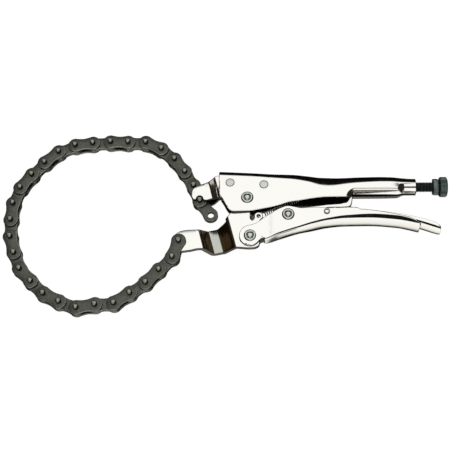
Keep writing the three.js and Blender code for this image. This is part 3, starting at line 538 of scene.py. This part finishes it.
# Pressing draws the plate's surface: it is duller on the slopes, with fine marks along them, and grey on
# the trough's floor. The slopes' browner, darker tone is a painted reflection, given to faces by their lean.
MARK_GRAIN = (5 / 7, 50 / 3, 10 / 3)                # mm across the marks, along them and through the plate
drawn_nickel_painted_reflection, tree, _, place, streaks = finish(
    "nickel_drawn_on_slopes_painted_reflection", "#7a6c55", 1, 0.2, grain=1 / MM, detail=3, tones=[(0.3, "#625541"), (0.7, "#8f8069")])
draw_marks = add(tree, "ShaderNodeMapping", {
    "Rotation": (0, 0, -PRESS_ANGLE), "Scale": [1 / (grain * MM) for grain in MARK_GRAIN]},
    {"Vector": place.outputs["Object"]})
tree.links.new(draw_marks.outputs["Vector"], streaks.inputs["Vector"])
pressed_nickel, *_ = finish("nickel_on_trough_floor", "#c3c7bd", 1, 0.22, grain=5 / 3, detail=4, gloss=(0.16, 0.3))
FLOOR_REACH, FLAT, PAINTED_REFLECTION_LEAN = (-43, -28), 0.78, 0.86
mesh.normal_update()
for face in mesh.faces:
    reach = face.calc_center_median().dot(ACROSS_PRESS)
    if face.material_index == 0 and FLOOR_REACH[0] < reach < FLOOR_REACH[1] and abs(face.normal.z) > FLAT:
        face.material_index = 4
    # faces that lean take the painted reflection
    elif face.material_index == 0 and abs(face.normal.z) < PAINTED_REFLECTION_LEAN:
        face.material_index = 3
lower_jaw = piece("lower_jaw_plate", mesh, nickel, cut_edge_and_shade, cut_edge_and_shade, drawn_nickel_painted_reflection, pressed_nickel)
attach(lower_jaw, "lower_jaw")
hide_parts("lower_jaw")

# The spring's lug stands in a recess: behind it a set-back dark plate is painted shade.
recess = [*arc(*LUG, 7.2, 150, 262, 10), (10.9, -21.0), (9.9, -16.0), (6.0, -12.2)]
lug_recess_painted_shade = piece("spring_lug_recess", plate(smooth(recess), -2.0, -0.4, 0.2), cut_edge_and_shade, cut_edge_and_shade, cut_edge_and_shade)
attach(lug_recess_painted_shade, "lower_jaw")


# ---------------------------------------------------------------------------
# The lower handle: 2 mm sheet pressed to a channel, open upwards, with two
# round ears at the front that carry it on the lower jaw. Its floor bulges a
# little, with a bevelled corner along each side of it to the tail end.
# x, then half the width, the floor, and the radii of the corner's two bends with the flat between them
LOWER_FORM = (
    (-6.8, 4.5, -41, 1.2, 0.8, 0.6), (15.04, 5.40, -40.21, 1.2, 0.8, 0.6), (27.0, 7.2, -36.12, 1.5, 1.0, 1.0),
    (43.07, 7.2, -30.9, 1.6, 1.2, 1.2), (56.06, 8.9, -27.5, 1.6, 1.4, 1.5), (69.06, 9.2, -24.5, 1.6, 1.4, 1.7),
    (83.95, 9.8, -22.9, 1.6, 1.4, 2.4), (103.95, 10.2, -22.6, 1.6, 1.4, 3.2), (128.04, 10.2, -24.4, 1.6, 1.4, 3.4),
    (140, 10.2, -26.8, 1.6, 1.4, 2.6), (147.2, 9.4, -28.9, 1.6, 1.4, 1.4))
LOWER_TOP = (
    (-6.8, -35.9), (-6.5, -33.4), (-5.6, -30.9), (-3.2, -27.9), (-0.7, -26.7), (6.9, -24.6), (15, -18.9), (21.5, -15.1),
    (29.3, -10.9), (34.9, -9.1), (40.4, -9.9), (46.9, -11.3), (69.1, -11.8), (91.3, -11.9), (95, -12.5), (96.8, -13.9),
    (106, -14.8), (120.6, -17.2), (135.1, -20.6), (139.4, -21.9), (142.6, -23.6), (145.2, -25.9), (147.2, -28.4))
EAR_FOOT = (
    (-6.8, -35.9), (-6.4, -38.6), (-5.2, -41.2), (-3, -43.5), (0, -45.0), (2.7, -45.4), (6, -44.8), (8.6, -43.3),
    (10.7, -41.2), (12.3, -39.6), (13.6, -38.95), (15.04, -38.8))
EAR_ROOT = 15.04             # where the ears leave the channel
lower_places = spaced(EAR_ROOT, (97, 58), (139, 28), (147.2, 8))
EAR_STEPS = 16
EAR_RADIUS, EAR_HALF = 9.5, 4.4
EAR_TOP, EAR_LOW = (-2.75, -28.1), (1.4, -45.3)     # the ends of the ear's round front
EAR_LOW_ANGLE, EAR_SWEEP = 262, 137
FLOOR_BULGE = 0.36
LOWER_CORNER, LOWER_SIDE = 34, 14                   # rows from the middle of the floor to the corner's end, and up


def channel_side(half, foot, top, lower_bend, flat, upper_bend, crown):
    """A channel's half section up to its top edge: a floor that bulges a little, a bevelled corner, a side."""
    lean = math.radians(66)
    wide = lower_bend * math.sin(lean) + flat * math.cos(lean) + upper_bend * (1 - math.sin(lean))
    floor_half = half - wide
    path = [(foot - crown * (1 - (k / 14) ** 2), floor_half * k / 14) for k in range(15)]
    path += [(foot + lower_bend * (1 - math.cos(lean * k / 10)),
              floor_half + lower_bend * math.sin(lean * k / 10)) for k in range(1, 11)]
    y, z = path[-1]
    path += [(y + flat * math.sin(lean) * k / 6, z + flat * math.cos(lean) * k / 6) for k in range(1, 7)]
    y, z = path[-1]
    rest = math.pi / 2 - lean
    path += [(y + upper_bend * (math.cos(lean) - math.cos(lean + rest * k / 6)),
              z + upper_bend * (math.sin(lean + rest * k / 6) - math.sin(lean))) for k in range(1, 7)]
    corner = sum(math.dist(*pair) for pair in zip(path, path[1:]))
    cut = [point for point in path if point[0] < top]
    if len(cut) < len(path):
        (y0, z0), (y1, z1) = cut[-1], path[len(cut)]
        cut.append((top, z0 + (z1 - z0) * (top - y0) / (y1 - y0)))
    else:
        cut.append((top, half))
    whole = sum(math.dist(*pair) for pair in zip(cut, cut[1:]))
    return cut, whole, min(corner / whole, 0.75)


def along_path(path, reach):
    """The point on a path at a distance from its start."""
    for (y0, z0), (y1, z1) in zip(path, path[1:]):
        step = math.dist((y0, z0), (y1, z1))
        if reach <= step:
            return y0 + (y1 - y0) * reach / step, z0 + (z1 - z0) * reach / step
        reach -= step
    return path[-1]


def lower_half(column, row):
    """A corner of the front half. The ear's columns run from its round end to the channel, the rest stand across."""
    x = lower_places[max(column - EAR_STEPS, 0)]
    half, foot, lower_bend, upper_bend, flat = follow(LOWER_FORM, x)
    top = follow(LOWER_TOP, x)[0]
    crown = FLOOR_BULGE * min((x - EAR_ROOT) / 40, 1)
    path, whole, share = channel_side(half, foot, top, lower_bend, flat, upper_bend, crown)
    up = (row - LOWER_CORNER) / LOWER_SIDE
    if column >= EAR_STEPS:
        part = share * row / LOWER_CORNER if row <= LOWER_CORNER else share + (1 - share) * up
        return Vector((x, *along_path(path, whole * part)))
    s = column / EAR_STEPS
    y_foot, _ = along_path(path, whole * share)
    x_top, x_foot = EAR_TOP[0] + (EAR_ROOT - EAR_TOP[0]) * s, EAR_LOW[0] + (EAR_ROOT - EAR_LOW[0]) * s
    above = Vector((x_top, follow(LOWER_TOP, x_top)[0], 0))
    below = Vector((x_foot, follow(EAR_FOOT, x_foot)[0] * (1 - s ** 4) + y_foot * s ** 4, 0))
    chord = Vector((*EAR_TOP, 0)) * up + Vector((*EAR_LOW, 0)) * (1 - up)
    turn = math.radians(EAR_LOW_ANGLE - EAR_SWEEP * up)
    bulge = Vector((*HANDLE_RIVET, 0)) + EAR_RADIUS * Vector((math.cos(turn), math.sin(turn), 0)) - chord
    spot = above * up + below * (1 - up) + bulge * (1 - s) ** 1.5
    return Vector((spot.x, spot.y, EAR_HALF + (half - EAR_HALF) * s))


mesh = sheet(len(lower_places) - 1 + EAR_STEPS, LOWER_CORNER + LOWER_SIDE,
             lambda column, row: lower_half(column, max(row, LOWER_CORNER) if column < EAR_STEPS else row))
# the ears have no floor between them: their columns' rows below the corner's end lie in one place and go
bmesh.ops.remove_doubles(mesh, verts=mesh.verts, dist=0.00001)
bmesh.ops.delete(mesh, geom=[f for f in mesh.faces if len(f.verts) == 3], context="FACES")
both_sides(mesh)
lower_handle = piece("lower_handle_sheet", mesh, nickel, satin_nickel, cut_edge_and_shade, wall=2.0, edge=0.7,
                     sharp=lambda spot: spot.x > 144)
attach(lower_handle, "lower_handle")
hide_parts("lower_handle")


# ---------------------------------------------------------------------------
# The toggle link: a 4 mm plate between two turned spacers on its rivet. Its
# nose bears on the tip of the adjusting screw inside the upper handle.
SCREW_AXIS = 10.9
TOGGLE_OUTLINE = [
    *arc(*TOGGLE_RIVET, 7, 110, 285, 14), (55.3, -13.4), (71.5, -8.8), (81, -8.7), (87.9, -8.2), (90.6, -4.7),
    (91.3, 0.7), (90.2, 6.0), *arc(87.77, SCREW_AXIS, 4.2, -50, 215, 12), (83.9, 7.4), (83.3, 4.3), (81.1, -2.2),
    (63.5, -5.9), (46, -8.1), (37.1, -9.8)]
toggle = piece("toggle_link_plate", plate(smooth(TOGGLE_OUTLINE), -2, 2, 0.5), nickel, cut_edge_and_shade, cut_edge_and_shade)
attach(toggle, "toggle_link")
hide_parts("toggle_link")
# the spacers are the solids themselves, in the channel's finish
for name in ("toggle_spacer_front", "toggle_spacer_back"):
    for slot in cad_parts[name].material_slots:
        slot.material = satin_nickel


# ---------------------------------------------------------------------------
# The release lever: a shallow channel of 1.5 mm sheet that lies in the lower
# handle on its pin, with its rounded tail out behind for the fingers.
# x, then half the width, the floor and the cheek's top edge
LEVER_FORM = (
    (60.5, 6.3, -21.0, -12.6), (66, 6.3, -20.6, -11.9), (72, 6.35, -20.0, -12.0), (84, 6.48, -19.2, -11.9),
    (97, 6.8, -18.9, -12.3), (115.6, 7.0, -19.9, -14.7), (133, 7.2, -22.4, -17.4), (144, 7.2, -25.2, -20.1),
    (150, 7.2, -27.3, -21.6), (158, 7.2, -30.2, -24.2), (161, 7.1, -31.2, -25.6), (163.4, 6.9, -31.9, -27.4),
    (164.8, 6.6, -32.2, -29.2))
lever_places = spaced(60.5, (145, 44), (161, 12), (164.8, 6))
LEVER_CORNER, LEVER_SIDE = 28, 4                    # rows from the middle of the floor to the corner's end, and up


def lever_half(column, row):
    """A corner of the front half: the floor, the bevelled corner, then the cheek."""
    x = lever_places[column]
    half, foot, top = follow(LEVER_FORM, x)
    path, whole, share = channel_side(half, foot, top, lower_bend=1.8, flat=1.8, upper_bend=0.9, crown=0.22)
    up = (row - LEVER_CORNER) / LEVER_SIDE
    part = share * row / LEVER_CORNER if row <= LEVER_CORNER else share + (1 - share) * up
    return Vector((x, *along_path(path, whole * part)))


mesh = sheet(len(lever_places) - 1, LEVER_CORNER + LEVER_SIDE, lever_half)
both_sides(mesh)
release_lever = piece("release_lever_sheet", mesh, nickel, satin_nickel, satin_nickel, wall=1.5, edge=0.4)
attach(release_lever, "release_lever")
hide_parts("release_lever")

# Its pin: a small hollow rivet, rolled over at both ends.
rolled = [(0, 5.0), (1.5, 5.0), (1.5, 10.0), (1.7, 10.25), (2.1, 10.3), (2.5, 10.2), (2.7, 9.9), (2.7, 9.0)]
mesh = turned(rolled + [(radius, -z) for radius, z in reversed(rolled)], 32)
# the bore's wall and the ring round each rolled end take the dark finish: painted shade
PAINTED_SHADE_BORE, PAINTED_SHADE_ROLLED_RIM = (1.0, 1.75), 2.25
for face in mesh.faces:
    from_middle = face.calc_center_median().xy.length
    face.material_index = int(from_middle > PAINTED_SHADE_ROLLED_RIM or PAINTED_SHADE_BORE[0] < from_middle < PAINTED_SHADE_BORE[1])
bmesh.ops.translate(mesh, vec=(68.47, -15.6, 0), verts=mesh.verts)
lever_pin = piece("release_lever_pin_hollow", mesh, rivet_steel, cut_edge_and_shade)
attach(lever_pin, "lower_handle")
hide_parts("release_lever_pin")


# ---------------------------------------------------------------------------
# The adjusting screw: turned steel with a thread of 1.25 mm pitch and a round
# head, straight-knurled for the fingers. Hot blackened and oiled. The thread
# is drawn as rings without a lead, which look the same from a step away.
# The blackening is a thin oxide: dark, a little blue-green.
black_oxide, *_ = finish("hot_blackened_steel", "#262c2b", 0.35, 0.32, grain=10 / 9, detail=4,
                         tones=[(0.35, "#1c2221"), (0.7, "#333b39")], gloss=(0.25, 0.45))

THREAD_RADIUS, ROOT_RADIUS, SHANK_RADIUS = 4.35, 3.65, 4.2
THREAD_PITCH = 1.25
THREAD_START, THREAD_END = 96.4, 160.5
HEAD_START = 166.3
profile = [(0, 95.5), (3.0, 95.5), (3.5, 96.1)]
ring = THREAD_START
while ring < THREAD_END:
    profile += [(ROOT_RADIUS, ring), (THREAD_RADIUS, ring + 0.5), (THREAD_RADIUS, ring + 0.75)]
    ring += THREAD_PITCH
profile += [(ROOT_RADIUS, ring), (SHANK_RADIUS, 161.0), (SHANK_RADIUS, 166.0), (SHANK_RADIUS, HEAD_START)]
shank = turned(profile + [(0, HEAD_START)], 32)

# the head along the axis: the place, the radius, and the share of the ribs' depth
RIBS, RIB_DEPTH = 44, 0.44
HEAD_LEVELS = (
    (HEAD_START, 6.9, 0), (166.5, 7.9, 0), (167.0, 8.5, 0.35), (167.4, 8.8, 1), (172.0, 8.8, 1), (172.5, 8.5, 0.35),
    (172.9, 8.0, 0), (173.2, 7.2, 0), (173.5, 5.0, 0), (173.6, 2.5, 0))


def knurled_head():
    """The head: a disc whose side is cut into fine straight ribs, with a flat face and a turned dome."""
    mesh = bmesh.new()
    bmesh.ops.create_circle(mesh, cap_ends=True, segments=RIBS * 4, radius=HEAD_LEVELS[0][1])
    bmesh.ops.translate(mesh, vec=(0, 0, HEAD_START), verts=mesh.verts)
    cap = mesh.faces[:]
    for height, radius, depth in HEAD_LEVELS[1:]:
        out = bmesh.ops.extrude_face_region(mesh, geom=cap)
        cap = [f for f in out["geom"] if isinstance(f, bmesh.types.BMFace)]
        for v in cap[0].verts:
            turn = math.atan2(v.co.y, v.co.x)
            cut = RIB_DEPTH / 2 * depth * (1 - math.cos(turn * RIBS))
            v.co = Vector(((radius - cut) * math.cos(turn), (radius - cut) * math.sin(turn), height))
    bmesh.ops.recalc_face_normals(mesh, faces=mesh.faces)
    return mesh


def laid_along(mesh):
    """Turns a shape from the Z axis to the screw's axis."""
    bmesh.ops.rotate(mesh, cent=(0, 0, 0), matrix=Matrix.Rotation(math.pi / 2, 3, "Y"), verts=mesh.verts)
    bmesh.ops.translate(mesh, vec=(0, SCREW_AXIS, 0), verts=mesh.verts)
    return mesh


# The head is worn by the fingers: the black has gone grey.
worn_black, *_ = finish("worn_blackened_steel", "#596663", 0.9, 0.36, grain=5 / 3, detail=4,
                        tones=[(0.3, "#4c5856"), (0.7, "#6a7774")])
thread = piece("adjusting_screw_thread", laid_along(shank), black_oxide)
head = piece("adjusting_screw_head", laid_along(knurled_head()), worn_black)
for made in (thread, head):
    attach(made, "adjusting_screw")
    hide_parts("adjusting_screw")


# ---------------------------------------------------------------------------
# The lock nut: a thin hexagon nut of steel, 4.5 mm thick, with its edges
# rounded off. Phosphated, so that it is a paler grey than the screw.
NUT_CORNER, NUT_THICKNESS = 7.9, 4.5
mesh = bmesh.new()
bmesh.ops.create_cone(mesh, cap_ends=True, segments=6, radius1=NUT_CORNER, radius2=NUT_CORNER, depth=NUT_THICKNESS)
bmesh.ops.rotate(mesh, cent=(0, 0, 0), matrix=Matrix.Rotation(math.radians(2), 3, "Z"), verts=mesh.verts)
bmesh.ops.bevel(mesh, geom=mesh.edges[:], offset=0.5, segments=2, profile=0.5, affect="EDGES", material=-1)
bmesh.ops.translate(mesh, vec=(0, 0, 163.25), verts=mesh.verts)
nut_steel, *_ = finish("grey_phosphated_steel", "#64706c", 0.8, 0.33, grain=1.25, detail=4,
                       tones=[(0.3, "#545f5c"), (0.7, "#76827e")])
nut = piece("lock_nut_hexagon", laid_along(mesh), nut_steel)
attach(nut, "lock_nut")
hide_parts("lock_nut")


# ---------------------------------------------------------------------------
# The tension spring: 1 mm spring wire, wound in 18 turns that its pull holds
# a little open, with a hook through the lower jaw's lug and another on the
# tab inside the upper handle. Plated wire keeps a bright line along each turn.
spring_wire, *_ = finish("plated_spring_wire", "#c9c8c0", 1, 0.24, grain=0.4, detail=2, gloss=(0.18, 0.32))

WIRE_RADIUS = 0.5
COIL_RADIUS, TURNS, TURN_STEPS = 1.95, 18, 12
lug, tab = Vector((*LUG, 0)), Vector((50, 3, 0))
run = (tab - lug).normalized()
across, up = Vector((-run.y, run.x, 0)), Vector((0, 0, 1))
coil_start, coil_end = 5.2, (tab - lug).length - 4.0
points = [lug - across * 1.1 + run * 0.2 - up, lug - run, lug + across * 1.2 + run * 0.3 + up * 1.4,
          lug + run * 2.5 + across * 0.6 + up * 1.2]
for k in range(TURNS * TURN_STEPS + 1):
    turn = math.tau * k / TURN_STEPS
    along = coil_start + (coil_end - coil_start) * k / (TURNS * TURN_STEPS)
    points.append(lug + run * along + COIL_RADIUS * (across * math.cos(turn) + up * math.sin(turn)))
points += [tab - run * 2.5 + across * 0.5, tab + across * 1.2, tab + run, tab - across * 1.1]
wire = bpy.data.curves.new("tension_spring_wire", "CURVE")
wire.dimensions = "3D"
wire.bevel_depth = WIRE_RADIUS * MM
wire.bevel_resolution = 2
line = wire.splines.new("POLY")
line.points.add(len(points) - 1)
for spot, point in zip(line.points, points):
    spot.co = (*(to_frame @ point), 1)
line.use_smooth = True
wire.use_fill_caps = True
wire.materials.append(spring_wire)
spring = bpy.data.objects.new("tension_spring_wire", wire)
bpy.context.scene.collection.objects.link(spring)
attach(spring, "upper_side")
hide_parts("tension_spring")


# ---------------------------------------------------------------------------
# The chain: 5/8 inch leaf links of blackened steel. An outer link is two
# waisted plates on two long pins, whose ends stand proud and are riveted over;
# an inner link is two plates close together between them.
# Heat-treated and blackened, then oiled: a brown-green grey that is mottled, and paler where edges rub, with a painted
# highlight there.
chain_steel, tree, shader, _, cloud = finish(
    "blackened_chain_steel", "#6b6d66", 0.95, 0.4, grain=2.0, detail=6, tones=[(0.3, "#50524b"), (0.72, "#707369")])
cloud.inputs["Roughness"].default_value = 0.65
pits = add(tree, "ShaderNodeBump", {"Strength": 0.3, "Distance": 0.1 * MM}, {"Height": cloud.outputs["Fac"]})
tree.links.new(pits.outputs["Normal"], shader.inputs["Normal"])

# Where links rub, at the rims of the plates and on the pins' ends, the steel shows through; this paler tone is also a
# painted highlight.
rubbed_steel_and_highlight, *_ = finish("rubbed_chain_steel_and_painted_highlight", "#9da096", 0.95, 0.33, grain=10 / 7, detail=5,
                          tones=[(0.35, "#84877d"), (0.7, "#b2b5aa")])

# The plates' punched sides and the pins' sides are painted near black: painted shade.
shaded_link_side, *_ = finish("painted_shade_punched_side", "#2a2b27", 0.5, 0.5, grain=10 / 9, detail=4,
                        tones=[(0.35, "#1d1e1b"), (0.7, "#3a3b36")])

PIN_PITCH = 15.875
LINK_END_RADIUS = 6.45
# each link's heading in degrees, from the jaw's tab round to the hook
HEADINGS = (
    251.5, 226.9, 226.6, 216.2, 214.3, 184.4, 189.6, 160.9, 152.0, 136.6, 132.8, 113.0, 107.5, 93.6, 87.8, 71.5, 55.0,
    48.7, 42.4, 23.5, 7.1, 4.2, -1.9, -0.8, -24.9, -40.9, -52.7, -59.4, -68.1)
LINK_OUTLINE = smooth([
    *arc(PIN_PITCH / 2, 0, LINK_END_RADIUS, -112, 112, 16), (0, 5.2),
    *arc(-PIN_PITCH / 2, 0, LINK_END_RADIUS, 68, 292, 16), (0, -5.2)], 1.6)
INNER_PLATES, INNER_EDGE = ((-2.2, -0.15), (0.15, 2.2)), 0.45
OUTER_PLATES, OUTER_EDGE = ((-4.4, -2.35), (2.35, 4.4)), 0.5
PIN_SIDE = [(1.8, 8.05), (2.2, 7.75), (2.4, 7.3), (2.45, 6.9), (2.45, 4.4)]
PIN_END = [(0, 8.25), (1.2, 8.2), *PIN_SIDE]
DRILLED_END = [(0, 7.5), (0.7, 7.5), (0.75, 8.1), (1.0, 8.2), *PIN_SIDE]
# a pin's end that looks up gets the rubbed steel and painted highlight, its side the painted shade
PIN_HIGHLIGHT_LEAN = 0.55              # faces of a pin's end that look up at least so much are rubbed


def link(heights, edge, pins=(), holes=()):
    """The plates of one link, lying along X with its middle at the origin, and its pins."""
    shapes = [plate(LINK_OUTLINE, low, high, edge, holes) for low, high in heights]
    for x, end in pins:
        pin = turned(end + [(radius, -z) for radius, z in reversed(end)], 24)
        bmesh.ops.translate(pin, vec=(x, 0, 0), verts=pin.verts)
        for face in pin.faces:
            # a pin's upward end takes the rubbed steel and painted highlight, its side the painted shade
            face.material_index = 1 if abs(face.normal.z) > PIN_HIGHLIGHT_LEAN else 2
        shapes.append(pin)
    mesh = bmesh.new()
    for shape in shapes:
        data = bpy.data.meshes.new("link_part")
        shape.to_mesh(data)
        shape.free()
        mesh.from_mesh(data)
        bpy.data.meshes.remove(data)
    return mesh


def lay(mesh, start, heading):
    """Lays a link from one pin at a heading in degrees, and gives the place of its next pin."""
    course = math.radians(heading)
    ahead = start + PIN_PITCH * Vector((math.cos(course), math.sin(course), 0))
    bmesh.ops.rotate(mesh, cent=(0, 0, 0), matrix=Matrix.Rotation(course, 3, "Z"), verts=mesh.verts)
    bmesh.ops.translate(mesh, vec=(start + ahead) / 2, verts=mesh.verts)
    return ahead


spot = Vector((-58.59, -40.06, 0))                  # the pin on the jaw's tab
half = PIN_PITCH / 2
for number, heading in enumerate(HEADINGS):
    if number % 2:
        mesh = link(INNER_PLATES, INNER_EDGE)
        node = "chain_inner_link_%02d" % (number // 2 + 1)
    else:
        near = DRILLED_END if number == 0 else PIN_END
        mesh = link(OUTER_PLATES, OUTER_EDGE, pins=((-half, near), (half, PIN_END)))
        node = "chain_outer_link_%02d" % (number // 2 + 1)
    spot = lay(mesh, spot, heading)
    made = piece(node + "_plates", mesh, chain_steel, rubbed_steel_and_highlight, shaded_link_side)
    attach(made, "chain_run_%02d" % (number // 4 + 1))
    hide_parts(node)

# The end link: an inner link that ends in an empty hole, for a longer chain.
END_HOLE = arc(16.1 - half, 0, 2.8, 0, 345, 23)
mesh = link(INNER_PLATES, INNER_EDGE, holes=[END_HOLE])
lay(mesh, spot, -53.2)
made = piece("chain_end_link_plates", mesh, chain_steel, rubbed_steel_and_highlight, shaded_link_side)
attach(made, "end_link")
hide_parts("chain_end_link")
